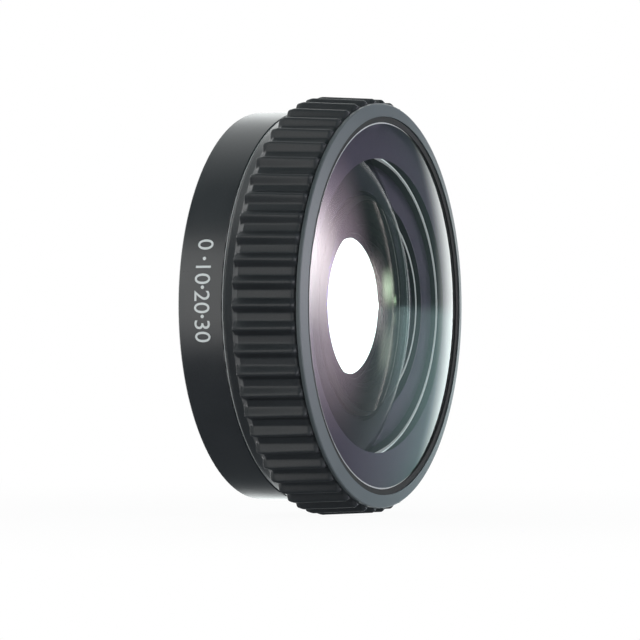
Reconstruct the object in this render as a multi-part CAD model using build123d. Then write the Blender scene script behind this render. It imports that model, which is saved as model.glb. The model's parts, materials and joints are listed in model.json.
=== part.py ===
from build123d import *
import math
import os

# Wide-angle conversion lens for a small action camera, in millimetres.
# Every piece is drawn standing on its rear face: its axis is Z, a height is counted from the
# rear face towards the front glass, and 0 degrees points to +X. placed() then lays the lens down,
# so that in the finished part the axis is Y, the front glass looks along -Y and +Z is up.
# Turning the grip ring clockwise, seen from the front, locks the lens on the camera.

# Socket for the camera's lens port
port_radius = 14.30
port_wall = 1.10
port_depth = 1.55
port_floor = 0.29

# Lock sleeve between the socket and the tube
sleeve_gap = 0.30
sleeve_wall = 0.95
sleeve_end_play = 0.10
lug_count = 3
lug_angle = 36.0
lug_clearance = 0.15
lug_depth = 1.10
lock_travel = 45.0

# Barrel and the tube that runs forward from it
shoulder_width = 1.00
barrel_length = 4.54
barrel_edge = 0.10
tube_gap = 0.30
tube_wall = 0.75
rear_plate_thickness = 0.90
rear_plate_rim = 0.35
rear_mouth_clearance = 0.15
seat_clearance = 0.05

# Rear screws
screw_count = 3
screw_head_radius = 0.55
screw_head_height = 0.36
screw_radius = 0.38
screw_length = 2.60
screw_first_angle = 30.0
screw_sink = 0.08
screw_wall = 0.22
driver_radius = 0.34
driver_width = 0.17
driver_depth = 0.22

# Grip ring
ring_play = 0.06
journal_clearance = 0.08
journal_width = 1.00
ring_skirt_gap = 0.25
ring_length = 7.64
ring_edge = 0.08
grip_wall = 0.75
collar_step = 0.02
collar_length = 1.14
collar_rise = 0.22
floor_ramp = 0.65
floor_front_bevel = 0.35
rib_count = 58
rib_height_rear = 0.72
rib_height_front = 0.42
rib_end_drop = 0.27
rib_end_ramp = 0.90
rib_front_bevel = 0.22
rib_crest_width = 0.26
rib_floor_width = 0.79
rib_root = 0.30
rib_overrun = 0.20

# Drive between ring and sleeve
drive_count = 3
drive_first_angle = 75.0
drive_offset = 0.79
collar_radius = 0.75
collar_stand = 0.30
collar_side_clearance = 0.10
drive_shank_radius = 0.40
drive_head_radius = 0.65
drive_head_thickness = 0.25
key_clearance = 0.10

# Slide washer, detent and end-play spring
washer_thickness = 0.06
washer_width = 0.85
washer_opening = 5.0
detent_angle = 15.0
ball_radius = 0.30
ball_clearance = 0.05
ball_hole_clearance = 0.04
detent_depth = 2.10
detent_wire = 0.06
detent_turns = 5
disc_spring_thickness = 0.12
disc_spring_width = 0.45
disc_spring_gap = 0.06
disc_spring_room = 0.55

# Front bezel
skirt_wall = 0.65
bezel_gap = 0.10
bezel_overhang = 0.96
bezel_flange = 0.38
bezel_edge = 0.09
bezel_face_width = 1.25
bezel_rise = 0.27
bezel_recess = 0.15
lip_thickness = 0.15
lip_reach = 0.19
lip_gap = 0.18

# Optical cell
shim_thickness = 0.10
shim_width = 0.60
cell_flange = 1.30
cell_spigot = 0.75
mouth_margin = 0.50
baffle_depth = 1.15
retainer_depth = 1.65
middle_depth = 2.70
stop_thickness = 0.40
stop_margin = 0.12

# Front element
glass_clearance = 0.05
glass_bevel = 0.28
glass_rim = 2.92
dome_radius = 60.8
hollow_reach = 13.50
front_thickness = 2.29

# Gasket under the front element
gasket_margin = 0.40
gasket_width = 1.20
gasket_thickness = 0.40
gasket_groove = 0.35

# Baffle ring, middle element and its retainer
baffle_thickness = 0.55
baffle_margin = 1.00
baffle_reach = 0.60
middle_radius = 10.80
middle_bevel = 0.50
middle_height = 4.08
middle_front_radius = 37.3
middle_rear_radius = 14.5
middle_thickness = 0.90
retainer_thickness = 0.40
notch_width = 1.20
notch_depth = 0.50

# Rear doublet and its ring
doublet_radius = 8.40
doublet_step = 0.27
doublet_front_edge = 0.55
doublet_front_radius = 111.5
doublet_joint_radius = -30.0
doublet_rear_radius = -49.9
doublet_rear_edge = 0.80
doublet_front_rim = 0.90
doublet_rear_rim = 1.38
rear_ring_width = 0.70
rear_ring_thickness = 0.60

# Port gasket and locating pins
port_gasket_margin = 0.40
port_gasket_width = 1.00
port_gasket_thickness = 0.30
port_gasket_groove = 0.20
pin_count = 3
pin_first_angle = 37.5
pin_radius = 0.30
pin_stand = 0.90
pin_sunk = 1.00

# Radii worked out from the socket outwards
cell_radius = port_radius + port_wall
sleeve_bore = cell_radius + sleeve_gap
sleeve_radius = sleeve_bore + sleeve_wall
tube_bore = sleeve_radius + tube_gap
tube_radius = tube_bore + tube_wall
barrel_radius = tube_radius + shoulder_width
ring_bore = tube_radius + journal_clearance
collar_top = ring_bore + collar_stand
skirt_bore = tube_radius + seat_clearance
skirt_radius = skirt_bore + skirt_wall
ring_front_bore = skirt_radius + ring_skirt_gap
floor_radius = ring_front_bore + grip_wall
rib_top_rear = floor_radius + rib_height_rear
bezel_radius = skirt_radius + bezel_overhang
glass_radius = skirt_bore - glass_clearance
gasket_outer = glass_radius - gasket_margin
cell_mouth = hollow_reach + mouth_margin
baffle_bore = middle_radius + baffle_margin
stop_radius = doublet_radius - doublet_front_edge + stop_margin
port_gasket_outer = port_radius - port_gasket_margin
shoulder_middle = (tube_radius + barrel_radius) / 2
screw_circle = tube_bore + screw_wall + screw_radius
pin_circle = (port_radius + cell_radius) / 2

# Heights worked out from the barrel to the bezel, then back down through the cell
ring_rear = barrel_length + washer_thickness + ring_play
ring_front = ring_rear + ring_length
drive_height = ring_rear + drive_offset
journal_front = drive_height + journal_width
skirt_rear = journal_front + disc_spring_room
bezel_rear = ring_front + bezel_gap
bezel_face = bezel_rear + bezel_flange
bezel_crown = bezel_face + bezel_rise
lip_front = bezel_crown - bezel_recess
lip_rear = lip_front - lip_thickness
glass_front = lip_rear - lip_gap
glass_rear = glass_front - glass_rim
cell_front = glass_rear - glass_clearance
cell_seat = cell_front - cell_flange
spigot_rear = cell_seat - shim_thickness - cell_spigot
tube_front = cell_seat - shim_thickness
baffle_shelf = cell_front - baffle_depth
retainer_shelf = cell_front - retainer_depth
middle_seat = cell_front - middle_depth
doublet_seat = middle_seat - stop_thickness
doublet_edge = doublet_seat + doublet_step
joint_edge = doublet_edge - doublet_front_rim
doublet_rear = joint_edge - doublet_rear_rim
port_seat = doublet_rear - rear_ring_thickness - port_floor
socket_rear = port_seat - port_depth
ball_height = ring_rear - ball_clearance - ball_radius


def placed(piece):
    """The piece laid down from its drawing position: height becomes -Y."""
    return Plane.XZ * piece


def turned(*outline):
    """Ring turned about the axis from its (radius, height) corners."""
    corners = [(radius, 0, height) for radius, height in outline]
    return revolve(make_face(Polyline(*corners, close=True)), Axis.Z)


def ring(inner, outer, low, high):
    """Plain ring between two radii and two heights."""
    return turned((inner, low), (outer, low), (outer, high), (inner, high))


def disc(radius, low, high):
    """Plain round bar on the axis between two heights."""
    return Pos(0, 0, low) * Cylinder(radius, high - low, align=(Align.CENTER, Align.CENTER, Align.MIN))


def around(piece, count, first_angle=0.0):
    """Equally spaced copies about the axis, as a list."""
    return [Rot(0, 0, first_angle + 360.0 * i / count) * piece for i in range(count)]


def upright(radius, distance, low, high):
    """Round bar beside the axis, parallel to it, on the 0 degree line."""
    return Pos(distance, 0, 0) * disc(radius, low, high)


def spoke(radius, height, start, end):
    """Round bar along the 0 degree line, from one distance to another."""
    bar = Cylinder(radius, end - start, align=(Align.CENTER, Align.CENTER, Align.MIN))
    return Pos(start, 0, height) * Rot(0, 90, 0) * bar


def rise(radius, reach):
    """How far a sphere's vertex stands above its edge; below it where the radius is negative."""
    return math.copysign(abs(radius) - math.sqrt(radius ** 2 - reach ** 2), radius)


def reach_of(radius, height):
    """Reach of a sphere's cap of that height."""
    return math.sqrt(2 * radius * height - height ** 2)


def curved(radius, reach, edge):
    """Arc of a lens surface from its vertex on the axis to its edge."""
    vertex = edge + rise(radius, reach)
    middle = vertex - rise(radius, reach / 2)
    return ThreePointArc((0, 0, vertex), (reach / 2, 0, middle), (reach, 0, edge))


def lens(front, rear, rim):
    """Lens from its two (radius, reach, edge height) surfaces and the rim corners between them."""
    front_arc = curved(*front)
    rear_arc = curved(*rear)
    corners = [(front[1], 0, front[2])] + [(r, 0, h) for r, h in rim] + [(rear[1], 0, rear[2])]
    axis_line = Line(rear_arc @ 0, front_arc @ 0)
    return revolve(make_face([axis_line, front_arc, Polyline(*corners), rear_arc]), Axis.Z)


def screw(head_radius, head_height, shank_radius, length):
    """Pan screw with a cross-slot, its head's underside at height 0 and its shank below."""
    body = disc(head_radius, 0, head_height) + disc(shank_radius, -length, 0)
    slot = Box(2 * driver_radius, driver_width, driver_depth)
    cross = Pos(0, 0, head_height - driver_depth / 2) * (slot + Rot(0, 0, 90) * slot)
    return body - cross


def make_rear_barrel():
    """Barrel with the tube in one piece: arc slots, rear screw holes and the detent hole."""
    body = turned(
        (barrel_radius - rear_plate_rim, 0),
        (barrel_radius - barrel_edge, 0),
        (barrel_radius, barrel_edge),
        (barrel_radius, barrel_length - barrel_edge),
        (barrel_radius - barrel_edge, barrel_length),
        (tube_radius, barrel_length),
        (tube_radius, tube_front),
        (tube_bore, tube_front),
        (tube_bore, rear_plate_thickness),
        (barrel_radius - rear_plate_rim, rear_plate_thickness),
    )
    body -= around(slot_tool(), drive_count, drive_first_angle)
    hole = upright(screw_radius, screw_circle, 0, rear_plate_thickness + screw_length)
    body -= around(hole, screw_count, screw_first_angle)
    detent_hole = upright(ball_radius + ball_hole_clearance, shoulder_middle,
                          barrel_length - detent_depth, barrel_length + 1)
    body -= Rot(0, 0, detent_angle) * detent_hole
    return body


def slot_tool():
    """Cutter of one arc slot, which starts at 0 degrees and runs clockwise by the travel."""
    half_width = collar_radius + collar_side_clearance
    section = Pos((tube_bore + tube_radius) / 2, 0, drive_height) * Rot(90, 0, 0) * Rectangle(
        2 * tube_wall, 2 * half_width)
    sweep = Rot(0, 0, -lock_travel) * revolve(section, Axis.Z, lock_travel)
    end = spoke(half_width, drive_height, tube_bore - tube_wall / 2, tube_radius + tube_wall / 2)
    return sweep + end + Rot(0, 0, -lock_travel) * end


def make_rear_plate():
    """Plate let into the rear of the barrel, with sunk seats for its screws."""
    mouth = sleeve_bore - rear_mouth_clearance
    body = ring(mouth, barrel_radius - rear_plate_rim - seat_clearance, 0, rear_plate_thickness)
    seat = upright(screw_head_radius + seat_clearance, screw_circle, -1, screw_sink + screw_head_height)
    hole = upright(screw_radius, screw_circle, 0, rear_plate_thickness)
    return body - around(seat, screw_count, screw_first_angle) - around(hole, screw_count, screw_first_angle)


def make_casing_screws():
    """Screws of the rear plate, heads to the rear."""
    one = screw(screw_head_radius, screw_head_height, screw_radius, screw_length)
    one = Pos(screw_circle, 0, screw_sink + screw_head_height) * Rot(180, 0, 0) * one
    return around(one, screw_count, screw_first_angle)


def make_lock_sleeve():
    """Turning sleeve with the bayonet lugs at its rear end and a threaded hole for each drive screw."""
    low = rear_plate_thickness + sleeve_end_play
    lug_top = socket_rear - lug_clearance
    body = ring(sleeve_bore, sleeve_radius, low, spigot_rear - sleeve_gap)
    section = make_face(Polyline(
        (sleeve_bore - lug_depth, 0, low), (sleeve_bore + sleeve_wall / 2, 0, low),
        (sleeve_bore + sleeve_wall / 2, 0, lug_top),
        (sleeve_bore - lug_depth, 0, lug_top), close=True))
    lug = Rot(0, 0, -lug_angle / 2) * revolve(section, Axis.Z, lug_angle)
    body += around(lug, lug_count)
    hole = spoke(drive_shank_radius, drive_height, sleeve_bore - 1, sleeve_radius + 1)
    return body - around(hole, drive_count, drive_first_angle)


def make_drive_collars():
    """Brass collars that run in the arc slots and reach into the ring's keyways."""
    one = spoke(collar_radius, drive_height, sleeve_radius, collar_top)
    one -= spoke(drive_shank_radius, drive_height, sleeve_radius - 1, collar_top + 1)
    return around(one, drive_count, drive_first_angle)


def make_drive_screws():
    """Screws that hold the collars on the sleeve."""
    length = collar_top - sleeve_bore - sleeve_gap / 2
    one = screw(drive_head_radius, drive_head_thickness, drive_shank_radius, length)
    one = Pos(collar_top, 0, drive_height) * Rot(0, 90, 0) * one
    return around(one, drive_count, drive_first_angle)


def rib_star():
    """Cross-section of all ribs as one outline, from inside the floor to beyond the crests."""
    pitch = 2 * math.pi / rib_count
    slope = (pitch * floor_radius - rib_floor_width - rib_crest_width) / 2
    flank = slope / rib_height_rear
    low = floor_radius - rib_root
    high = rib_top_rear + rib_overrun
    foot = (rib_crest_width / 2 + (rib_top_rear - low) * flank) / low
    head = rib_crest_width / 2 / high
    corners = []
    for i in range(rib_count):
        centre = i * pitch
        for radius, angle in ((low, centre - foot), (high, centre - head),
                              (high, centre + head), (low, centre + foot)):
            corners.append((radius * math.cos(angle), radius * math.sin(angle)))
    return make_face(Polyline(*corners, close=True))


def make_grip_ring():
    """Ring with its conical collar, ribs, keyways for the drive collars and detent notches."""
    collar_end = ring_rear + collar_length
    collar_start = barrel_radius + collar_step
    rib_top_front = floor_radius + rib_height_front
    body = turned(
        (ring_bore, ring_rear),
        (collar_start - ring_edge, ring_rear),
        (collar_start, ring_rear + ring_edge),
        (floor_radius - collar_rise, collar_end),
        (floor_radius, collar_end + floor_ramp),
        (floor_radius, ring_front - floor_front_bevel),
        (floor_radius - floor_front_bevel, ring_front),
        (ring_front_bore, ring_front),
        (ring_front_bore, journal_front),
        (ring_bore, journal_front),
    )
    crest = turned(
        (ring_front_bore, collar_end),
        (rib_top_rear - rib_end_drop, collar_end),
        (rib_top_rear, collar_end + rib_end_ramp),
        (rib_top_front, ring_front - rib_front_bevel),
        (rib_top_front - rib_front_bevel, ring_front),
        (ring_front_bore, ring_front),
    )
    body += crest & Pos(0, 0, collar_end - 1) * extrude(rib_star(), ring_length)
    keyway = Pos(ring_bore, 0, ring_rear) * Box(
        2 * (collar_top + drive_head_thickness + key_clearance - ring_bore),
        2 * (collar_radius + collar_side_clearance),
        2 * (drive_height + collar_radius + collar_side_clearance - ring_rear))
    body -= around(keyway, drive_count, drive_first_angle)
    notch = Pos(shoulder_middle, 0, ring_rear - ball_radius / 2) * Sphere(ball_radius)
    for angle in (detent_angle, detent_angle + lock_travel):
        body -= Rot(0, 0, angle) * notch
    return body


def make_slide_washer():
    """Open ring of slippery plastic on the barrel's shoulder, with its gap over the detent ball."""
    inner = tube_radius + seat_clearance
    section = make_face(Polyline(
        (inner, 0, barrel_length), (inner + washer_width, 0, barrel_length),
        (inner + washer_width, 0, barrel_length + washer_thickness),
        (inner, 0, barrel_length + washer_thickness), close=True))
    open_ring = revolve(section, Axis.Z, 360 - washer_opening)
    return Rot(0, 0, detent_angle + washer_opening / 2) * open_ring


def make_detent_ball():
    """Ball that clicks into the notches of the ring."""
    return Rot(0, 0, detent_angle) * Pos(shoulder_middle, 0, ball_height) * Sphere(ball_radius)


def make_detent_spring():
    """Coil spring under the ball, a round wire on a helix."""
    low = barrel_length - detent_depth + detent_wire
    high = ball_height - ball_radius - detent_wire
    coil_radius = ball_radius - detent_wire
    path = Helix(pitch=(high - low) / detent_turns, height=high - low, radius=coil_radius)
    wire = sweep(Plane(path @ 0, z_dir=path % 0) * Circle(detent_wire), path, is_frenet=True)
    return Rot(0, 0, detent_angle) * Pos(shoulder_middle, 0, low) * wire


def make_disc_spring():
    """Dished ring between the skirt of the bezel and the shoulder inside the grip ring."""
    inner = tube_radius + 2 * seat_clearance
    low = journal_front + disc_spring_gap
    high = skirt_rear - disc_spring_thickness
    return turned((inner, high), (inner, high + disc_spring_thickness),
                  (inner + disc_spring_width, low + disc_spring_thickness),
                  (inner + disc_spring_width, low))


def make_front_bezel():
    """Bezel: flange with a conical face, skirt over the tube and the lip over the glass."""
    face_inner = bezel_radius - bezel_face_width
    return turned(
        (skirt_bore, skirt_rear),
        (skirt_radius, skirt_rear),
        (skirt_radius, bezel_rear),
        (bezel_radius, bezel_rear),
        (bezel_radius, bezel_face - bezel_edge),
        (bezel_radius - bezel_edge, bezel_face),
        (face_inner, bezel_crown),
        (face_inner, lip_front),
        (skirt_bore - lip_reach, lip_front),
        (skirt_bore - lip_reach, lip_rear),
        (skirt_bore, lip_rear),
    )


def make_front_element():
    """Large meniscus: flat ground annulus at the rear, bevelled shoulder under the lip."""
    reach = glass_radius - glass_bevel
    edge = glass_front + glass_bevel
    hollow_depth = edge + rise(dome_radius, reach) - front_thickness - glass_rear
    hollow_radius = (hollow_reach ** 2 + hollow_depth ** 2) / (2 * hollow_depth)
    rim = ((glass_radius, glass_front), (glass_radius, glass_rear))
    return lens((dome_radius, reach, edge), (hollow_radius, hollow_reach, glass_rear), rim)


def make_front_gasket():
    """Flat rubber ring let into the cell, under the ground annulus of the glass."""
    return ring(gasket_outer - gasket_width, gasket_outer, cell_front - gasket_groove,
                cell_front - gasket_groove + gasket_thickness)


def make_cell_shim():
    """Thin ring between the tube and the flange of the cell."""
    return ring(tube_radius - shim_width, tube_radius, tube_front, cell_seat)


def make_optical_cell():
    """Stepped carrier: socket at the rear, flange at the front, bores for the inner lenses."""
    body = turned(
        (port_radius, socket_rear),
        (cell_radius, socket_rear),
        (cell_radius, spigot_rear),
        (tube_bore - seat_clearance, spigot_rear),
        (tube_bore - seat_clearance, cell_seat),
        (glass_radius, cell_seat),
        (glass_radius, cell_front),
        (cell_mouth, cell_front),
        (cell_mouth, baffle_shelf),
        (baffle_bore, baffle_shelf),
        (baffle_bore, retainer_shelf),
        (middle_radius + seat_clearance, retainer_shelf),
        (middle_radius + seat_clearance, middle_seat),
        (stop_radius, middle_seat),
        (stop_radius, doublet_seat),
        (doublet_radius + seat_clearance, doublet_seat),
        (doublet_radius + seat_clearance, port_seat),
        (port_radius, port_seat),
    )
    groove = ring(gasket_outer - gasket_width - seat_clearance, gasket_outer + seat_clearance,
                  cell_front - gasket_groove, cell_front + 1)
    port_groove = ring(port_gasket_outer - port_gasket_width - seat_clearance,
                       port_gasket_outer + seat_clearance, port_seat - 1, port_seat + port_gasket_groove)
    pin_hole = upright(pin_radius, pin_circle, socket_rear, socket_rear + pin_sunk)
    return body - groove - port_groove - around(pin_hole, pin_count, pin_first_angle)


def make_port_gasket():
    """Rubber ring that seals on the camera's lens port."""
    return ring(port_gasket_outer - port_gasket_width, port_gasket_outer,
                port_seat + port_gasket_groove - port_gasket_thickness, port_seat + port_gasket_groove)


def make_locating_pins():
    """Dowels in the rear end of the socket's wall; they stop the housing turning on the camera."""
    pin = upright(pin_radius, pin_circle, socket_rear - pin_stand, socket_rear + pin_sunk)
    return around(pin, pin_count, pin_first_angle)


def make_baffle_ring():
    """Blackened ring on the upper shelf of the cell."""
    return ring(baffle_bore - baffle_reach, cell_mouth - seat_clearance,
                baffle_shelf, baffle_shelf + baffle_thickness)


def make_middle_element():
    """Second meniscus, domed to the front."""
    front_reach = middle_radius - middle_bevel
    front_edge = middle_seat + middle_height - rise(middle_front_radius, front_reach)
    rear_reach = reach_of(middle_rear_radius, middle_height - middle_thickness)
    rim = ((middle_radius, front_edge - middle_bevel), (middle_radius, middle_seat))
    return lens((middle_front_radius, front_reach, front_edge),
                (middle_rear_radius, rear_reach, middle_seat), rim)


def make_middle_retainer():
    """Ring round the rim of the second meniscus, under the baffle."""
    return ring(middle_radius + seat_clearance, baffle_bore - seat_clearance, retainer_shelf,
                retainer_shelf + retainer_thickness)


def make_doublet():
    """The two cemented rear lenses, front one first."""
    front_reach = doublet_radius - doublet_front_edge
    joint = (doublet_joint_radius, doublet_radius, joint_edge)
    front_rim = ((front_reach, doublet_seat), (doublet_radius, doublet_seat))
    front = lens((doublet_front_radius, front_reach, doublet_edge), joint, front_rim)
    rear_reach = doublet_radius - doublet_rear_edge
    rear = lens(joint, (doublet_rear_radius, rear_reach, doublet_rear), ((doublet_radius, doublet_rear),))
    return front, rear


def make_rear_retaining_ring():
    """Ring behind the doublet, its notches towards the camera."""
    low = doublet_rear - rear_ring_thickness
    body = ring(doublet_radius - rear_ring_width, doublet_radius, low, doublet_rear)
    notch = Pos(doublet_radius, 0, low) * Box(4 * notch_depth, notch_width, 2 * notch_depth)
    return body - around(notch, 2)


def main():
    """Write one STEP file for each named piece."""
    front_half, rear_half = make_doublet()
    pieces = {
        "rear_barrel": make_rear_barrel(),
        "rear_plate": make_rear_plate(),
        "casing_screws": make_casing_screws(),
        "lock_sleeve": make_lock_sleeve(),
        "drive_collars": make_drive_collars(),
        "drive_screws": make_drive_screws(),
        "grip_ring": make_grip_ring(),
        "slide_washer": make_slide_washer(),
        "detent_ball": make_detent_ball(),
        "detent_spring": make_detent_spring(),
        "disc_spring": make_disc_spring(),
        "front_bezel": make_front_bezel(),
        "front_element": make_front_element(),
        "front_gasket": make_front_gasket(),
        "cell_shim": make_cell_shim(),
        "optical_cell": make_optical_cell(),
        "port_gasket": make_port_gasket(),
        "locating_pins": make_locating_pins(),
        "baffle_ring": make_baffle_ring(),
        "middle_element": make_middle_element(),
        "middle_retainer": make_middle_retainer(),
        "doublet_front": front_half,
        "doublet_rear": rear_half,
        "rear_retaining_ring": make_rear_retaining_ring(),
    }
    os.makedirs("parts", exist_ok=True)
    for name, piece in pieces.items():
        solids = piece if isinstance(piece, list) else [piece]
        export_step(Compound(children=[placed(solid) for solid in solids]), f"parts/{name}.step")


main()
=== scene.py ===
# %% [markdown]
# # A wide-angle conversion lens: finish, glass and light
#
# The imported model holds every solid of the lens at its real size. This script gives each one
# its finish, remakes the glass and the grip ring as finer meshes, and lights them.
# The lens axis lies along Y, the front glass looks along -Y and +Z is up.

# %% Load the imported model
import json
import math

import bmesh
import bpy
from mathutils import Matrix, Vector


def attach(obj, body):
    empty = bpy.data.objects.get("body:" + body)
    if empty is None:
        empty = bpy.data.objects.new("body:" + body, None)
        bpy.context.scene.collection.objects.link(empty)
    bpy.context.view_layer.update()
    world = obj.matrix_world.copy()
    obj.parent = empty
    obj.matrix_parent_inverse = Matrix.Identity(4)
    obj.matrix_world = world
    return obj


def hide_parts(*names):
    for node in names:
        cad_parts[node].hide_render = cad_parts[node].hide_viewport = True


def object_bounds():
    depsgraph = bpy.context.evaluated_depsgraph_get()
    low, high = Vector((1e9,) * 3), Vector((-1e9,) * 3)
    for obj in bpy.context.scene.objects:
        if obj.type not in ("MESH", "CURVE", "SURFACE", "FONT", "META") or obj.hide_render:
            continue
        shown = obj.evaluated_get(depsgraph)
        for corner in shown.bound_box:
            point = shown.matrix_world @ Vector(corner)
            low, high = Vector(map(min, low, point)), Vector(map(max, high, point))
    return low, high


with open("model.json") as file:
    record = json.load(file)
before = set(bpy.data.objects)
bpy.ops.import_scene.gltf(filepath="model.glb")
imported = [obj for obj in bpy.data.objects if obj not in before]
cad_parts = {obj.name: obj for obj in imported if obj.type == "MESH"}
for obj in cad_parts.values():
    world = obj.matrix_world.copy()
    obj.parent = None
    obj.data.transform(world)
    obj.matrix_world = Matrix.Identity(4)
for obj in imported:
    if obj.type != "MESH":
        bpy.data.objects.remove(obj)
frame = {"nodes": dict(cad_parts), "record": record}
cad_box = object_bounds()
MM = 0.001
print("CAD box in mm:", [[round(value / MM, 2) for value in corner] for corner in cad_box])

# %% [markdown]
# ## The camera
#
# The photograph looks at the lens from its left front, level with the axis. The near and the far
# edge of each ring are almost the same height in it, so it was taken from some way off through
# a long lens. A camera close by would draw the near edges larger, so this one stands 0.42 m away,
# about ten times the size of the object, with the focal length that fills the picture.

# %% Place the camera
CAMERA_TURN = math.radians(65.54)
CAMERA_PLACE = Vector((-381.03, -179.35, -1.36)) * MM
SENSOR_WIDTH = 36.0
FOCAL_LENGTH = 244.35
NEAREST_SEEN = 10 * MM

camera = bpy.data.objects.new("camera", bpy.data.cameras.new("camera"))
camera.data.sensor_width = SENSOR_WIDTH
camera.data.lens = FOCAL_LENGTH
camera.data.clip_start = NEAREST_SEEN
camera.location = CAMERA_PLACE
looking = Vector((math.sin(CAMERA_TURN), math.cos(CAMERA_TURN), 0.0))
camera.rotation_euler = looking.to_track_quat("-Z", "Y").to_euler()
bpy.context.scene.collection.objects.link(camera)
bpy.context.scene.camera = camera
bpy.context.scene.view_settings.view_transform = "Standard"
print("camera to origin:", round(camera.location.length / MM), "mm")

# %% [markdown]
# ## Shader maths as Python
#
# A material is a tree of nodes, and sums of masks and noise soon fill a screen with Math nodes.
# They are easier to read as sums and products. `Value` wraps a socket, so that an expression
# such as `1 - mask * 0.3` adds the nodes that it needs.

# %% Wrap a socket
class Value:
    """A socket in an expression; each operator adds a Math node."""

    def __init__(self, tree, socket):
        self.tree = tree
        self.socket = socket

    def math(self, operation, *terms):
        return self.tree.add("ShaderNodeMath", {"operation": operation}, terms)

    def __add__(self, other):
        return self.math("ADD", self, other)

    def __sub__(self, other):
        return self.math("SUBTRACT", self, other)

    def __rsub__(self, other):
        return self.math("SUBTRACT", other, self)

    def __mul__(self, other):
        return self.math("MULTIPLY", self, other)

    def __truediv__(self, other):
        return self.math("DIVIDE", self, other)

    def __rtruediv__(self, other):
        return self.math("DIVIDE", other, self)

    def __gt__(self, other):
        return self.math("GREATER_THAN", self, other)

    def __lt__(self, other):
        return self.math("LESS_THAN", self, other)

    def __abs__(self):
        return self.math("ABSOLUTE", self)

    def dot(self, vector):
        """How far this vector reaches along another one."""
        return self.tree.add("ShaderNodeVectorMath", {"operation": "DOT_PRODUCT"}, (self, vector), "Value")

    def length(self):
        """Length of this vector."""
        return self.tree.add("ShaderNodeVectorMath", {"operation": "LENGTH"}, (self,), "Value")

    __radd__ = __add__
    __rmul__ = __mul__


print("Value turns operators into Math nodes")

# %% [markdown]
# `Tree.add` makes every other node: its type, its settings, then what its sockets hold, which is
# a number, a colour or another node's value. A socket takes linear light, but colours are easier
# to judge as they show on a screen, from 0 to 255, so `tone` converts them.

# %% Wrap a tree
class Tree:
    """The emptied node tree of a material or of the world."""

    def __init__(self, owner):
        owner.use_nodes = True
        self.nodes = owner.node_tree.nodes
        self.links = owner.node_tree.links
        self.nodes.clear()

    def add(self, kind, settings=None, inputs=(), output=0):
        """A node of this type, as the value of one of its outputs."""
        node = self.nodes.new(kind)
        for name, setting in (settings or {}).items():
            setattr(node, name, setting)
        pairs = inputs.items() if isinstance(inputs, dict) else enumerate(inputs)
        for key, given in pairs:
            if isinstance(given, Value):
                self.links.new(given.socket, node.inputs[key])
            else:
                node.inputs[key].default_value = given
        return Value(self, node.outputs[output]) if len(node.outputs) else None

    def mix(self, mask, first, second):
        """The first colour where the mask is 0 and the second where it is 1."""
        return self.add("ShaderNodeMix", {"data_type": "RGBA"}, {0: mask, 6: first, 7: second}, 2)

    def fade(self, place, start, end, first=0.0, last=1.0):
        """A smooth change from the first number to the last, as place goes from start to end."""
        settings = {"interpolation_type": "SMOOTHSTEP"}
        return self.add("ShaderNodeMapRange", settings, (place, start, end, first, last))


def tone(*screen):
    """A colour written as 0 to 255 on the screen, as the linear numbers that a socket takes."""
    linear = [((c / 255 + 0.055) / 1.055) ** 2.4 if c > 10 else c / 255 / 12.92 for c in screen]
    return (*linear, 1.0)


def new_material(name):
    """An empty material and its tree."""
    material = bpy.data.materials.new(name)
    return material, Tree(material)


def surface(tree, inputs, normal=None):
    """End the tree in a Principled shader with these inputs."""
    if normal is not None:
        inputs = {**inputs, "Normal": normal}
    shader = tree.add("ShaderNodeBsdfPrincipled", None, inputs)
    tree.add("ShaderNodeOutputMaterial", None, {"Surface": shader})


print("half of full screen white is linear", round(tone(128, 128, 128)[0], 3))

# %% [markdown]
# ## Black metal
#
# The barrel, ring and bezel are blasted and anodised: a fine even grain, a satin sheen and a
# slightly green black. The grain is too fine to model, so it is a bump of noise about a tenth of
# a millimetre across. A slow cloud of noise varies the colour and the sheen a little, so that no
# face is one flat tone.
#
# Two pieces differ on part of their surface: the bore of the bezel is a darker grey and duller,
# and the collar behind the ribs is smoother than they are. Each is picked out by its place, the
# bore by its distance from the axis and the collar by its depth, so one material is enough.

# %% Make the black metals
GRAIN_SIZE = 0.10 * MM
CLOUD_SIZE = 4.0 * MM
CLOUD_IN_COLOUR = 0.3
GRAIN_IN_COLOUR = 0.7
CLOUD_IN_SHEEN = 0.10
GRAIN_IN_SHEEN = 0.12
BORE_TONE = (40, 42, 42)
BORE_DULLER = 0.4
COLLAR_SMOOTHER = 0.12
BEYOND_THE_LENS = 1.0
COLLAR_START = -5.80 * MM
BEZEL_BORE = 18.10 * MM


def noise(tree, place, size, detail=2.0):
    """Noise with features about this size, in metres."""
    return tree.add("ShaderNodeTexNoise", None, {"Vector": place, "Scale": 1 / size, "Detail": detail})


def grain_bump(tree, grain, height, strength):
    """Normal of a surface with this grain, its height in metres."""
    return tree.add("ShaderNodeBump", None, {"Height": grain, "Distance": height, "Strength": strength})


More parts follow.
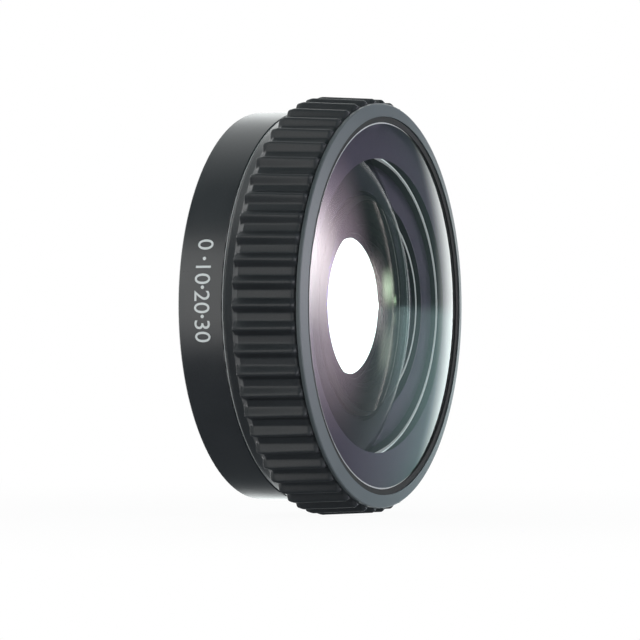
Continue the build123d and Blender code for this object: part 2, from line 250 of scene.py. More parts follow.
def black_metal(name, dark, light, roughness, grain_height, specular=0.5, dull_inside=0.0,
                smooth_behind=BEYOND_THE_LENS):
    """Satin black with a blasted grain, a darker grey and duller nearer to the axis than dull_inside
    and smoother further back than smooth_behind."""
    material, tree = new_material(name)
    place = tree.add("ShaderNodeTexCoord", output="Object")
    grain = noise(tree, place, GRAIN_SIZE)
    cloud = noise(tree, place, CLOUD_SIZE, 1.0)
    colour = tree.mix(cloud * CLOUD_IN_COLOUR + grain * GRAIN_IN_COLOUR, tone(*dark), tone(*light))
    shine = roughness + (cloud - 0.5) * CLOUD_IN_SHEEN + (grain - 0.5) * GRAIN_IN_SHEEN
    flat = tree.add("ShaderNodeVectorMath", {"operation": "MULTIPLY"}, (place, (1.0, 0.0, 1.0)))
    inside = flat.length() < dull_inside
    behind = tree.add("ShaderNodeSeparateXYZ", None, (place,), "Y") > smooth_behind
    colour = tree.mix(inside, colour, tone(*BORE_TONE))
    shine = shine + inside * BORE_DULLER - behind * COLLAR_SMOOTHER
    bump = grain_bump(tree, grain, grain_height, 1.0)
    surface(tree, {"Base Color": colour, "Roughness": shine, "Specular IOR Level": specular}, bump)
    return material


barrel_black = black_metal("barrel_black", (26, 28, 32), (56, 58, 62), 0.32, 0.005 * MM)
grip_black = black_metal("grip_black", (14, 16, 19), (54, 57, 61), 0.46, 0.006 * MM, 0.40,
                         smooth_behind=COLLAR_START)
bezel_black = black_metal("bezel_black", (70, 76, 79), (86, 92, 95), 0.34, 0.002 * MM, 0.15,
                          dull_inside=BEZEL_BORE)
print("black metals:", barrel_black.name, grip_black.name, bezel_black.name)

# %% [markdown]
# ## Inner materials
#
# The cell that holds the glass is blackened against stray light, so it is dull and has almost no
# reflection. The other inner pieces show at the rear mouth, and when the lens is taken apart: a
# turned aluminium sleeve, brass collars and shim, steel screws and springs, a white sliding
# washer and rubber. Bare metal has its colour in its reflections, so it is Metallic, with a fine
# noise in its sheen for the marks of the tool.

# %% Make the inner materials
CELL_GRAIN_SIZE = 0.15 * MM
CELL_GRAIN_HEIGHT = 0.01 * MM
CELL_GRAIN_STRENGTH = 0.6
CELL_GRAIN_IN_SHEEN = 0.1
CELL_SPECULAR = 0.04
MARK_DARKER = 0.86
MARK_DETAIL = 3.0
MARK_HEIGHT = 0.002 * MM
MARKS_IN_SHEEN = 0.15
SOFT_GRAIN_HEIGHT = 0.006 * MM
HALF_STRENGTH = 0.5


def matt_black(name, dark, light, roughness):
    """Dull black of the inner cell."""
    material, tree = new_material(name)
    place = tree.add("ShaderNodeTexCoord", output="Object")
    grain = noise(tree, place, CELL_GRAIN_SIZE)
    colour = tree.mix(grain, tone(*dark), tone(*light))
    shine = roughness + (grain - 0.5) * CELL_GRAIN_IN_SHEEN
    bump = grain_bump(tree, grain, CELL_GRAIN_HEIGHT, CELL_GRAIN_STRENGTH)
    surface(tree, {"Base Color": colour, "Roughness": shine, "Specular IOR Level": CELL_SPECULAR}, bump)
    return material


def bright_metal(name, colour, roughness, mark_size):
    """Machined metal, with tool marks of this size in its sheen."""
    material, tree = new_material(name)
    place = tree.add("ShaderNodeTexCoord", output="Object")
    marks = noise(tree, place, mark_size, MARK_DETAIL)
    shade = tree.mix(marks, tone(*[part * MARK_DARKER for part in colour]), tone(*colour))
    shine = roughness + (marks - 0.5) * MARKS_IN_SHEEN
    bump = grain_bump(tree, marks, MARK_HEIGHT, HALF_STRENGTH)
    surface(tree, {"Base Color": shade, "Roughness": shine, "Metallic": 1.0}, bump)
    return material


def dull(name, dark, light, roughness, grain_size, glow=(0.0, 0.0, 0.0)):
    """Plastic, rubber or paint with a fine grain; glow is a painted glow, an emission that stands in for
    light.
    """
    material, tree = new_material(name)
    place = tree.add("ShaderNodeTexCoord", output="Object")
    grain = noise(tree, place, grain_size)
    colour = tree.mix(grain, tone(*dark), tone(*light))
    bump = grain_bump(tree, grain, SOFT_GRAIN_HEIGHT, HALF_STRENGTH)
    surface(tree, {"Base Color": colour, "Roughness": roughness, "Emission Color": (*glow, 1.0),
                   "Emission Strength": 1.0}, bump)
    return material


finishes = {
    "barrel_black": barrel_black,
    "grip_black": grip_black,
    "bezel_black": bezel_black,
    "cell_black": matt_black("cell_black", (22, 22, 28), (36, 35, 43), 0.75),
    "bright_aluminium": bright_metal("bright_aluminium", (150, 152, 155), 0.44, 0.2 * MM),
    "screw_steel": bright_metal("screw_steel", (138, 139, 142), 0.40, 0.1 * MM),
    "collar_brass": bright_metal("collar_brass", (214, 176, 104), 0.30, 0.1 * MM),
    "slide_plastic": dull("slide_plastic", (206, 208, 209), (226, 228, 229), 0.5, 0.2 * MM),
    "seal_rubber": dull("seal_rubber", (30, 30, 31), (42, 42, 43), 0.75, 0.12 * MM),
}
print("finishes:", ", ".join(finishes))

# %% [markdown]
# ## Dress the solids
#
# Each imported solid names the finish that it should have. Going through them in a loop means that
# no piece is forgotten, however deep inside it lies. The glass solids are left alone, because
# meshes with the curves of lenses take their places below.

# %% Give each solid its finish
glass_nodes = ("front_element", "middle_element", "doublet_front", "doublet_rear")
slot_of = {row["node"]: row["material_slot"] for row in frame["record"]["subparts"]}
dressed = [node for node in frame["nodes"] if node not in glass_nodes]
for node in dressed:
    for holder in frame["nodes"][node].material_slots:
        holder.material = finishes[slot_of[node]]
print("dressed solids:", len(dressed))

# %% [markdown]
# ## Glass
#
# A lens bends what is behind it, so a flat transparent disc would show nothing of the inside.
# Each glass is a closed turned mesh with the curves and the refraction index of a lens. Its
# polished faces carry an antireflection coating, a clear film whose thickness gives the tint of
# what it reflects. The rims of the inner glasses are painted black.
#
# The flat rear of the front glass is ground and painted, and so is its rim, but the bevel and a
# fine line behind it stay light. A thick glass leads light to its ground edge, and the glass
# then mirrors that edge as bright arcs. Following this light through the glass would take very
# many rays, so the two light stretches have a faint glow instead.

# %% Make the glass materials
def coated_glass(name, colour, index, film, film_index, specular):
    """Polished glass under a film of this thickness, in nanometres; specular 0.5 is bare glass."""
    material, tree = new_material(name)
    surface(tree, {
        "Base Color": tone(*colour), "Roughness": 0.0, "IOR": index, "Transmission Weight": 1.0,
        "Thin Film Thickness": film, "Thin Film IOR": film_index, "Specular IOR Level": specular,
    })
    return material


front_coating = coated_glass("front_glass", (252, 253, 254), 1.452, 868.0, 1.50, 0.5)
hollow_coating = coated_glass("hollow_glass", (250, 253, 252), 1.452, 122.0, 1.38, 0.4)
middle_coating = coated_glass("middle_glass", (248, 253, 250), 1.783, 118.0, 1.38, 0.4)
rear_coating = coated_glass("rear_glass", (250, 253, 252), 1.495, 118.0, 1.38, 0.2)
rim_paint = dull("rim_paint", (10, 11, 13), (16, 17, 20), 0.5, 0.2 * MM)
ground_paint = dull("ground_paint", (62, 56, 72), (70, 64, 82), 0.8, 0.15 * MM)
rim_ground = dull("rim_ground", (17, 22, 23), (25, 31, 32), 0.8, 0.15 * MM)
# ground_glint_painted_glow and ground_edge_painted_glow are light ground glass with a painted glow: an
# emission that stands in for the light that the glass carries to its edge.
ground_glint_painted_glow = dull("ground_glint_painted_glow", (196, 204, 206), (222, 228, 230), 0.6, 0.05 * MM, (0.50, 0.54, 0.54))
ground_edge_painted_glow = dull("ground_edge_painted_glow", (120, 125, 128), (146, 150, 153), 0.6, 0.05 * MM, (0.20, 0.21, 0.21))
print("coatings:", front_coating.name, hollow_coating.name, middle_coating.name, rear_coating.name)

# %% [markdown]
# A lens is drawn as half its section, from the axis at the front round to the axis at the rear,
# and turned. The Spin tool would do that too, but here each stretch of the section needs a
# material of its own, and the corners between stretches are kept sharp, so that light turns
# only where a real edge is. A sphere's rows are close together, because a lens shows every facet.

# %% Turn lenses from their sections
AROUND = 256
ROWS = 48
ON_AXIS = 1e-9


def rise(radius, reach):
    """How far the vertex of a sphere stands above its edge."""
    return math.copysign(abs(radius) - math.sqrt(radius ** 2 - reach ** 2), radius)


def spherical(radius, vertex, end):
    """Points (distance from axis, height) of a sphere, from its vertex on the axis outwards."""
    reaches = [end * row / ROWS for row in range(ROWS + 1)]
    return [(reach, vertex - rise(radius, reach)) for reach in reaches]


def turned_grid(stretches):
    """Points and faces of the turned section, the stretch of each face, its rings of points
    and the numbers of the rings where two stretches meet."""
    verts, rings, faces, owners, sharp = [], [], [], [], set()
    for number, (points, material) in enumerate(stretches):
        for step, (reach, height) in enumerate(points):
            if step == 0 and number:
                sharp.add(len(rings) - 1)
                continue
            if reach < ON_AXIS:
                rings.append([len(verts)])
                verts.append((0.0, -height * MM, 0.0))
            else:
                rings.append(list(range(len(verts), len(verts) + AROUND)))
                for i in range(AROUND):
                    angle = 2 * math.pi * i / AROUND
                    verts.append((reach * MM * math.cos(angle), -height * MM, reach * MM * math.sin(angle)))
            if len(rings) > 1:
                near, far = rings[-2], rings[-1]
                for i in range(AROUND):
                    j = (i + 1) % AROUND
                    if len(near) == 1:
                        faces.append((near[0], far[i], far[j]))
                    elif len(far) == 1:
                        faces.append((near[j], near[i], far[0]))
                    else:
                        faces.append((near[j], near[i], far[i], far[j]))
                    owners.append(number)
    return verts, faces, owners, rings, sharp


def turned_lens(name, stretches):
    """Closed mesh turned about the lens axis. A stretch is its points and its material."""
    verts, faces, owners, rings, sharp = turned_grid(stretches)
    mesh = bpy.data.meshes.new(name)
    mesh.from_pydata(verts, [], faces)
    for points, material in stretches:
        mesh.materials.append(material)
    mesh.polygons.foreach_set("material_index", owners)
    mesh.polygons.foreach_set("use_smooth", [True] * len(faces))
    corner = {vertex for ring in sharp for vertex in rings[ring]}
    ring_of = {vertex: number for number, ring in enumerate(rings) for vertex in ring}
    for edge in mesh.edges:
        first, second = edge.vertices
        if first in corner and ring_of[first] == ring_of[second]:
            edge.use_edge_sharp = True
    mesh.validate()
    lens = bpy.data.objects.new(name, mesh)
    bpy.context.scene.collection.objects.link(lens)
    return lens


print("each lens has", AROUND, "points round its axis")

# %% [markdown]
# The front glass is a meniscus: its hollow rear is about twice as deeply curved as its domed
# front, which widens the view. Only the dome's radius, the hollow's reach and the thickness
# are given, and the hollow's radius follows from them. The ground rear face stands 0.005 mm in
# front of its gasket, because two faces in one plane would flicker.

# %% Turn the front glass
GLASS_RADIUS = 17.70
GLASS_FRONT = 12.57
GLASS_REAR = 9.655
GLASS_BEVEL = 0.28
RIM_GLINT = 0.20
DOME_RADIUS = 60.8
HOLLOW_REACH = 13.50
FRONT_THICKNESS = 2.29

dome_reach = GLASS_RADIUS - GLASS_BEVEL
dome_edge = GLASS_FRONT + GLASS_BEVEL
dome_vertex = dome_edge + rise(DOME_RADIUS, dome_reach)
hollow_vertex = dome_vertex - FRONT_THICKNESS
hollow_height = hollow_vertex - GLASS_REAR
hollow_radius = (HOLLOW_REACH ** 2 + hollow_height ** 2) / (2 * hollow_height)
glint_foot = GLASS_FRONT - RIM_GLINT
front_lens = turned_lens("front_lens", [
    (spherical(DOME_RADIUS, dome_vertex, dome_reach), front_coating),
    ([(dome_reach, dome_edge), (GLASS_RADIUS, GLASS_FRONT)], ground_edge_painted_glow),
    ([(GLASS_RADIUS, GLASS_FRONT), (GLASS_RADIUS, glint_foot)], ground_glint_painted_glow),
    ([(GLASS_RADIUS, glint_foot), (GLASS_RADIUS, GLASS_REAR)], rim_ground),
    ([(GLASS_RADIUS, GLASS_REAR), (HOLLOW_REACH, GLASS_REAR)], ground_paint),
    (spherical(hollow_radius, hollow_vertex, HOLLOW_REACH)[::-1], hollow_coating),
])
print("hollow radius in mm:", round(hollow_radius, 2))

# %% [markdown]
# The middle glass is a smaller meniscus behind the first, and more deeply hollow. Its curves were
# chosen so that the clear opening has the size and the place that it has in the photograph.

# %% Turn the middle glass
MIDDLE_SEAT = 6.90
MIDDLE_RADIUS = 10.80
MIDDLE_BEVEL = 0.50
MIDDLE_VERTEX = 10.98
MIDDLE_FRONT_RADIUS = 37.3
MIDDLE_REAR_RADIUS = 14.5
MIDDLE_THICKNESS = 0.90

middle_reach = MIDDLE_RADIUS - MIDDLE_BEVEL
middle_edge = MIDDLE_VERTEX - rise(MIDDLE_FRONT_RADIUS, middle_reach)
bevel_foot = middle_edge - MIDDLE_BEVEL
rear_vertex = MIDDLE_VERTEX - MIDDLE_THICKNESS
rear_height = rear_vertex - MIDDLE_SEAT
rear_reach = math.sqrt(2 * MIDDLE_REAR_RADIUS * rear_height - rear_height ** 2)
middle_lens = turned_lens("middle_lens", [
    (spherical(MIDDLE_FRONT_RADIUS, MIDDLE_VERTEX, middle_reach), middle_coating),
    ([(middle_reach, middle_edge), (MIDDLE_RADIUS, bevel_foot)], rim_paint),
    ([(MIDDLE_RADIUS, bevel_foot), (MIDDLE_RADIUS, MIDDLE_SEAT)], rim_paint),
    ([(MIDDLE_RADIUS, MIDDLE_SEAT), (rear_reach, MIDDLE_SEAT)], rim_paint),
    (spherical(MIDDLE_REAR_RADIUS, rear_vertex, rear_reach)[::-1], middle_coating),
])
print("reach of the middle glass's rear face in mm:", round(rear_reach, 2))

# %% [markdown]
# The rear pair is two lenses cemented together. The joint between them would only show as a
# faint line edge on, so both are turned as one closed mesh, which takes the place of both solids.

# %% Turn the rear pair
DOUBLET_RADIUS = 8.40
DOUBLET_REACH = 7.85
DOUBLET_EDGE = 6.77
DOUBLET_SEAT = 6.50
DOUBLET_FRONT_RADIUS = 111.5
DOUBLET_REAR = 4.49
DOUBLET_REAR_REACH = 7.60
DOUBLET_REAR_RADIUS = -49.9

doublet_vertex = DOUBLET_EDGE + rise(DOUBLET_FRONT_RADIUS, DOUBLET_REACH)
doublet_rear_vertex = DOUBLET_REAR + rise(DOUBLET_REAR_RADIUS, DOUBLET_REAR_REACH)
rear_pair = turned_lens("rear_pair", [
    (spherical(DOUBLET_FRONT_RADIUS, doublet_vertex, DOUBLET_REACH), rear_coating),
    ([(DOUBLET_REACH, DOUBLET_EDGE), (DOUBLET_REACH, DOUBLET_SEAT)], rim_paint),
    ([(DOUBLET_REACH, DOUBLET_SEAT), (DOUBLET_RADIUS, DOUBLET_SEAT)], rim_paint),
    ([(DOUBLET_RADIUS, DOUBLET_SEAT), (DOUBLET_RADIUS, DOUBLET_REAR)], rim_paint),
    ([(DOUBLET_RADIUS, DOUBLET_REAR), (DOUBLET_REAR_REACH, DOUBLET_REAR)], rim_paint),
    (spherical(DOUBLET_REAR_RADIUS, doublet_rear_vertex, DOUBLET_REAR_REACH)[::-1], rear_coating),
])
print("rear pair's thickness in mm:", round(doublet_vertex - doublet_rear_vertex, 2))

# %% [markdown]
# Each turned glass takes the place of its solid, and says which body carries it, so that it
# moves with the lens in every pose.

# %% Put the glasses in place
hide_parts("front_element")
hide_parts("middle_element")
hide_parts("doublet_front", "doublet_rear")
for lens, slot in ((front_lens, "front_glass"), (middle_lens, "inner_glass"), (rear_pair, "inner_glass")):
    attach(lens, "housing")
    print(lens.name, "faces:", len(lens.data.polygons))

# %% [markdown]
# ## Scale
#
# The barrel carries a plain numbered scale, printed in white round its side. An image texture
# could print it, but text stays crisp at any size. Each number is text made solid, as thin as
# a coat of paint.

# %% Make flat numbers
NUMBER_SIZE = 2.25
PAINT = 0.015


def text_mesh(words):
    """Thin solid text, flat, in millimetres, centred on the Y axis."""
    curve = bpy.data.curves.new("words", "FONT")
    curve.body = words
    curve.size = NUMBER_SIZE
    curve.align_x = "CENTER"
    curve.extrude = PAINT
    carrier = bpy.data.objects.new("words", curve)
    bpy.context.scene.collection.objects.link(carrier)
    bpy.context.view_layer.update()
    mesh = bpy.data.meshes.new_from_object(carrier.evaluated_get(bpy.context.evaluated_depsgraph_get()))
    bpy.data.objects.remove(carrier)
    return mesh


print("paint is", 2 * PAINT, "mm thick")

# %% [markdown]
# The flat numbers, with a dot between each two, are cut into narrow strips and bent round the
# barrel. Without the cuts a number's straight strokes would sink into the barrel between their
# ends. They stand clear of the metal by a few thousandths of a millimetre.

# %% Print the scale
BARREL_RADIUS = 18.70
NUMBERS = ("0", "10", "20", "30")
FIRST_NUMBER = math.radians(17.6)
NUMBER_STEP = math.radians(8.3) * BARREL_RADIUS
NUMBER_FOOT = 1.72
DOT_RADIUS = 0.17
DOT_HEIGHT = 0.80
DOT_SIDES = 20
STRIP = 0.25
PAINT_MIDDLE = 1.3 * PAINT
WELD = 0.0001


def flat_scale():
    """The numbers in a row, with a dot between each two."""
    shapes = bmesh.new()
    for order, words in enumerate(NUMBERS):
        mesh = text_mesh(words)
        mesh.transform(Matrix.Translation((order * NUMBER_STEP, 0, 0)))
        shapes.from_mesh(mesh)
        bpy.data.meshes.remove(mesh)
        if order:
            middle = Matrix.Translation(((order - 0.5) * NUMBER_STEP, DOT_HEIGHT, 0))
            bmesh.ops.create_cone(shapes, cap_ends=True, segments=DOT_SIDES, radius1=DOT_RADIUS,
                                  radius2=DOT_RADIUS, depth=2 * PAINT, matrix=middle)
    bmesh.ops.remove_doubles(shapes, verts=shapes.verts, dist=WELD)
    return shapes


def bent_scale():
    """The row cut into strips and bent round the barrel, as one mesh."""
    shapes = flat_scale()
    length = NUMBER_STEP * len(NUMBERS)
    for cut in range(1, round(2 * length / STRIP)):
        everything = shapes.verts[:] + shapes.edges[:] + shapes.faces[:]
        place = (cut * STRIP - length / 2, 0, 0)
        bmesh.ops.bisect_plane(shapes, geom=everything, plane_co=place, plane_no=(1, 0, 0))
    for vert in shapes.verts:
        angle = FIRST_NUMBER - vert.co.x / BARREL_RADIUS
        radius = (BARREL_RADIUS + PAINT_MIDDLE + vert.co.z) * MM
        height = (NUMBER_FOOT + vert.co.y) * MM
        vert.co = (-radius * math.cos(angle), -height, radius * math.sin(angle))
    bmesh.ops.recalc_face_normals(shapes, faces=shapes.faces)
    mesh = bpy.data.meshes.new("barrel_scale")
    shapes.to_mesh(mesh)
    shapes.free()
    return mesh


scale = bpy.data.objects.new("barrel_scale", bent_scale())
bpy.context.scene.collection.objects.link(scale)
scale.data.materials.clear()
scale.data.materials.append(dull("scale_paint", (214, 217, 218), (232, 234, 235), 0.55, 0.1 * MM))
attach(scale, "housing")
print("scale faces:", len(scale.data.polygons))

# %% [markdown]
# ## Grip ring
#
# The ring has a smooth collar at the rear, then ribs to hold it by, and a plain front edge under
# the bezel. Its section is given twice, once along the valley between two ribs and once along
# the crest of a rib, each as heights along the axis and the radius there, in millimetres.
# Inside it has two bores and three keyways for the collars that drive the lock.

# %% Sizes of the ring
RING_REAR = 4.66
RING_FRONT = 12.30
RING_BORE = 17.78
RING_FRONT_BORE = 18.65
JOURNAL_FRONT = 6.45
KEYWAY_ANGLES = (75.0, 195.0, 315.0)
KEYWAY_HALF = 2.74
KEYWAY_RADIUS = 18.43
KEYWAY_FRONT = 6.28
KEYWAY_EDGE = 0.05
VALLEY_RADIUS = 19.30
VALLEY = [(RING_REAR, 18.64), (4.74, 18.72), (5.66, 18.97), (5.74, 19.00), (6.42, 19.435), (6.50, 19.46),
          (11.88, VALLEY_RADIUS), (11.98, 19.27), (RING_FRONT, 19.00)]
CREST = [(RING_REAR, 19.45), (5.80, 19.86), (6.55, 20.07), (6.80, 20.11), (12.00, 19.82), (12.14, 19.75),
         (RING_FRONT, 19.60)]
BORES = [(RING_FRONT, RING_FRONT_BORE), (JOURNAL_FRONT, RING_FRONT_BORE), (JOURNAL_FRONT, RING_BORE),
         (KEYWAY_FRONT + KEYWAY_EDGE, RING_BORE), (KEYWAY_FRONT, RING_BORE), (RING_REAR, RING_BORE)]
print("ring length in mm:", round(RING_FRONT - RING_REAR, 2))

# %% [markdown]
# Blasting rounds every edge of the ring, and its soft highlights show it: each rib has a rounded
# crest, a hollow foot and a nose at its rear end. Bevelled boxes would keep flat flanks, so
# a formula gives the height of each point instead. It falls off with the distance from the top
# of the rib, the same way at its sides and at its rear end, and is rounded above and below.

# %% Shape of one rib
RIB_START = 5.80
RIB_COUNT = 58
CREST_HALF = 0.13
FLANK = 0.53
NOSE = 0.32
ROUNDING = 0.22


def read_off(table, place):
    """Value at this place in a table of (place, value), with straight lines between its rows."""
    for (start, first), (end, last) in zip(table, table[1:]):
        if place <= end:
            return first + (last - first) * (place - start) / (end - start)
    return table[-1][1]


def ramp(share, rounding):
    """0 below 0 and the share itself above it, with the corner rounded."""
    if share <= -rounding:
        return 0.0
    if share >= rounding:
        return share
    return (share + rounding) ** 2 / (4 * rounding)


def rib_share(across, along):
    """Height of a rib over the valley beside it, from 0 to 1."""
    side = (abs(across) - CREST_HALF) / FLANK
    rear = 1 - (along - RIB_START) / NOSE
    spare = max(0.0, min(-side, -rear))
    share = 1 - math.hypot(max(0.0, side), max(0.0, rear)) + spare
    return ramp(share, ROUNDING) - ramp(share - 1, ROUNDING)


def ring_radius(across, along):
    """Outer radius of the ring at this distance from the middle of a rib and at this height."""
    valley = read_off(VALLEY, along)
    return valley + (read_off(CREST, along) - valley) * rib_share(across, along)


print("rib height at the rear, mm:", round(ring_radius(0, 6.8) - ring_radius(1, 6.8), 2))

# %% [markdown]
# The ring is one grid of points, with more columns where a rib bends and more rows at its ends.
# An even grid would need many more points for the same edges. The rows run along the outside from
# rear to front and back again through the bores, so the mesh closes on itself.

# %% Lay out the grid
ROWS_ALONG = [RING_REAR, 4.70, 4.74, 5.00, 5.40, 5.60, 5.66, 5.70, 5.74, 5.80, 5.84, 5.88, 5.93, 5.98, 6.03,
              6.08, 6.13, 6.20, 6.30, 6.38, 6.42, 6.46, 6.50, 6.56, 6.68, 6.80, 7.20, 8.00, 9.00, 10.00,
              11.00, 11.60, 11.88, 11.93, 11.98, 12.00, 12.07, 12.14, 12.22, RING_FRONT]
ACROSS = [0.0, 0.07, 0.12, 0.17, 0.24, 0.32, 0.42, 0.52, 0.59, 0.65, 0.72, 0.82]


def in_keyway(angle):
    """True where this angle, in radians, lies in one of the keyways."""
    return any(abs(math.degrees(angle) - key) < KEYWAY_HALF for key in KEYWAY_ANGLES)


def ring_columns():
    """Each column's angle round the axis and its distance from the middle of its rib."""
    pitch = 2 * math.pi / RIB_COUNT
    steps = [-step for step in reversed(ACROSS[1:])] + ACROSS
    return [(rib * pitch + step / VALLEY_RADIUS, step) for rib in range(RIB_COUNT) for step in steps]


def ring_rows(columns):
    """Each row's height and the radius of each of its points."""
    rows = [(along, [ring_radius(step, along) for angle, step in columns]) for along in ROWS_ALONG]
    keyed = [in_keyway(angle) for angle, step in columns]
    for along, radius in BORES:
        cut = KEYWAY_RADIUS if along <= KEYWAY_FRONT else radius
        rows.append((along, [cut if key else radius for key in keyed]))
    return rows


print("grid:", len(ring_columns()), "columns,", len(ROWS_ALONG) + len(BORES), "rows")

# %% [markdown]
# The outside is shaded smooth, as blasted metal is. The two ends and the corners of the bores
# are real edges, so their lines are marked sharp.

# %% Make the grip ring
def make_ring():
    """The grid as a closed mesh."""
    columns = ring_columns()
    rows = ring_rows(columns)
    verts, faces = [], []
    for height, radii in rows:
        for (angle, step), radius in zip(columns, radii):
            verts.append((radius * MM * math.cos(angle), -height * MM, radius * MM * math.sin(angle)))
    count = len(columns)
    for row in range(len(rows)):
        near, far = row * count, (row + 1) % len(rows) * count
        for i in range(count):
            j = (i + 1) % count
            faces.append((near + j, near + i, far + i, far + j))
    mesh = bpy.data.meshes.new("grip_ring")
    mesh.from_pydata(verts, [], faces)
    mesh.materials.append(grip_black)
    mesh.polygons.foreach_set("use_smooth", [True] * len(faces))
    sharp_rows = {0} | set(range(len(ROWS_ALONG) - 1, len(rows)))
    for edge in mesh.edges:
        first, second = [vertex // count for vertex in edge.vertices]
        if first == second and first in sharp_rows:
            edge.use_edge_sharp = True
    mesh.validate()
    piece = bpy.data.objects.new("ribbed_ring", mesh)
    bpy.context.scene.collection.objects.link(piece)
    return piece


ribbed_ring = make_ring()
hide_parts("grip_ring")
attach(ribbed_ring, "grip")
print("ribbed_ring faces:", len(ribbed_ring.data.polygons))

# %% [markdown]
# ## Surroundings and light
#
# The photograph is a packshot: white behind, and soft light from several sides. Black satin
# metal and glass show little but what they reflect, so the light here is drawn as surroundings.
# Area lights would do for the metal, but each adds a hard rectangle to the glass. Instead the
# world holds each softbox as a patch of light with soft edges, seen in the right direction. The
# lens is small beside its studio, so only the direction matters, not the distance.

# %% Draw a softbox
EDGE_ON = 0.01


def heading(azimuth, elevation):
    """Unit vector that points this many degrees round from +X and up from level."""
    turn, tilt = math.radians(azimuth), math.radians(elevation)
    return Vector((math.cos(turn) * math.cos(tilt), math.sin(turn) * math.cos(tilt), math.sin(tilt)))


def softbox(tree, way, azimuth, elevation, half_width, half_height, edge):
    """1 inside a patch of sky of this many degrees, 0 outside it, with an edge this soft."""
    centre = heading(azimuth, elevation)
    across = heading(azimuth + 90, 0)
    upward = centre.cross(across)
    along = way.dot(centre)
    mask = along > 0.0
    for direction, half in ((across, half_width), (upward, half_height)):
        offset = abs(way.dot(direction) / along.math("MAXIMUM", along, EDGE_ON))
        outer = math.tan(math.radians(half + edge))
        inner = math.tan(math.radians(half - edge))
        mask = mask * tree.fade(offset, outer, inner)
    return mask


print("a level softbox straight ahead lies along", tuple(heading(0, 0)))

# %% [markdown]
# A white sweep runs from behind the lens to over it, and a black flag shades the part of it that
# the ring's collar would show too brightly. The limb box lights the barrel towards its top and
# bottom edge, the ramp box the rear slopes between the ribs, and the left box the middle of the
# barrel and the valleys. The key box with its spill gives the glass its bright glow at the left,
# and the edge box lights the fine bevel round the bezel. The floor patch is the blue-green light
# of the floor, which ends at the horizon. The small lamps are the green spots beside the clear
# opening.
#
# Each has its place as azimuth, elevation, half width, half height and softness of the edge, all
# in degrees, then its colour and its strength.

# %% List the softboxes
SKY = (0.10, 0.15, 0.15)
GROUND = (0.15, 0.17, 0.18)
SOFTBOXES = {
    "sweep": ((55, 22, 47, 45, 7), (1.00, 1.00, 1.00), 1.15),
    "flag": ((72, 44, 12, 10, 9), (1.00, 1.00, 1.00), -0.70),
    "limb box": ((22, 2, 24, 30, 6), (0.97, 1.00, 0.99), 1.6),
    "ramp box": ((78, 4, 12, 22, 7), (1.00, 1.00, 1.00), 5.0),
    "left box": ((155, 8, 15, 27, 6), (1.00, 0.99, 0.97), 2.6),
    "key box": ((-68, 7.5, 15, 5.5, 7), (1.00, 0.97, 0.99), 17.0),
    "key spill": ((-65, 3, 20, 12, 9), (0.96, 0.86, 1.00), 5.0),
    "floor patch": ((0, -6, 38, 11, 16), (0.55, 1.00, 0.96), 0.50),
    "edge box": ((-114, 5, 12, 30, 8), (1.00, 1.00, 1.00), 4.0),
    "small lamp": ((-32.3, 1.9, 1.8, 1.2, 1.2), (0.68, 1.00, 0.68), 5.5),
    "lamp below": ((-32.4, -4, 2.2, 1.8, 1.4), (0.70, 0.90, 0.70), 1.2),
}
BELOW_HORIZON_ONLY = ("floor patch",)
print("softboxes:", ", ".join(SOFTBOXES))

# %% [markdown]
# The camera sees the world as plain white, and everything else sees the softboxes. Light Path
# tells the two apart, so the white backdrop puts no light of its own on the lens.

# %% Light the lens
HORIZON_EDGE = 0.01
WHITE = (1.0, 1.0, 1.0, 1.0)

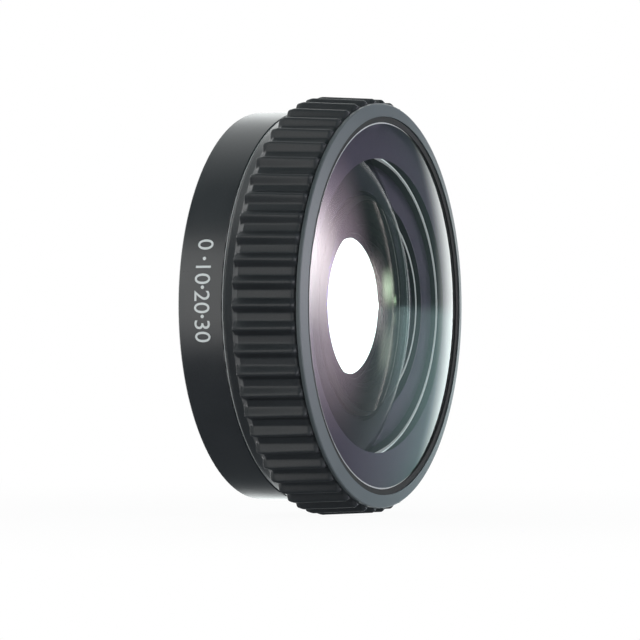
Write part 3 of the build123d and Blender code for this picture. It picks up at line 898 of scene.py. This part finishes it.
world = bpy.data.worlds.new("studio")
bpy.context.scene.world = world
tree = Tree(world)
way = tree.add("ShaderNodeTexCoord", output="Generated")
height = tree.add("ShaderNodeSeparateXYZ", None, (way,), "Z")
below = tree.fade(height, HORIZON_EDGE, -HORIZON_EDGE)
light = tree.mix(below, (*SKY, 1.0), (*GROUND, 1.0))
for name, (place, colour, strength) in SOFTBOXES.items():
    mask = softbox(tree, way, *place)
    if name in BELOW_HORIZON_ONLY:
        mask = mask * below
    glow = tree.add("ShaderNodeVectorMath", {"operation": "SCALE"}, {0: colour, "Scale": mask * strength})
    light = tree.add("ShaderNodeVectorMath", {"operation": "ADD"}, (light, glow))
seen = tree.add("ShaderNodeLightPath", output="Is Camera Ray")
light = tree.mix(seen, light, WHITE)
background = tree.add("ShaderNodeBackground", None, {"Color": light, "Strength": 1.0})
tree.add("ShaderNodeOutputWorld", None, {"Surface": background})
print("world nodes:", len(tree.nodes))

# %% [markdown]
# ## Floor
#
# The floor is white card just under the ring. White card in this light would render pale grey
# with an edge at the horizon, so the camera sees it mostly by a light of its own, as white as
# the backdrop, and only near the lens as card, which shows the lens's faint shadow. It neither
# lights the lens nor hides the surroundings from it.

# %% Lay the floor
FLOOR_REACH = 5.0
FLOOR_WHITE = 0.8
FLOOR_GLOW = 0.95
SHADOW_REACH = 0.09
SHADOW_CORE = 0.2 * SHADOW_REACH


def floor_material():
    """Diffuse white that the camera sees mostly by its own light."""
    material, tree = new_material("floor_white")
    card = tree.add("ShaderNodeBsdfDiffuse", None, {"Color": (FLOOR_WHITE, FLOOR_WHITE, FLOOR_WHITE, 1.0)})
    glow = tree.add("ShaderNodeEmission", None, {"Strength": 1.0})
    distance = tree.add("ShaderNodeTexCoord", output="Object").length()
    away = tree.fade(distance, SHADOW_CORE, SHADOW_REACH, FLOOR_GLOW, 1.0)
    seen = tree.add("ShaderNodeLightPath", output="Is Camera Ray")
    mixed = tree.add("ShaderNodeMixShader", None, (seen * away, card, glow))
    tree.add("ShaderNodeOutputMaterial", None, {"Surface": mixed})
    return material


floor_height = cad_box[0].z
floor_mesh = bpy.data.meshes.new("floor")
signs = ((-1, -1), (1, -1), (1, 1), (-1, 1))
corners = [(x * FLOOR_REACH, y * FLOOR_REACH, floor_height) for x, y in signs]
floor_mesh.from_pydata(corners, [], [(0, 1, 2, 3)])
floor_mesh.materials.append(floor_material())
floor = bpy.data.objects.new("floor", floor_mesh)
bpy.context.scene.collection.objects.link(floor)
floor.visible_glossy = False
floor.visible_diffuse = False
floor.visible_transmission = False
floor.visible_shadow = False
print("floor height in mm:", round(floor_height / MM, 2))
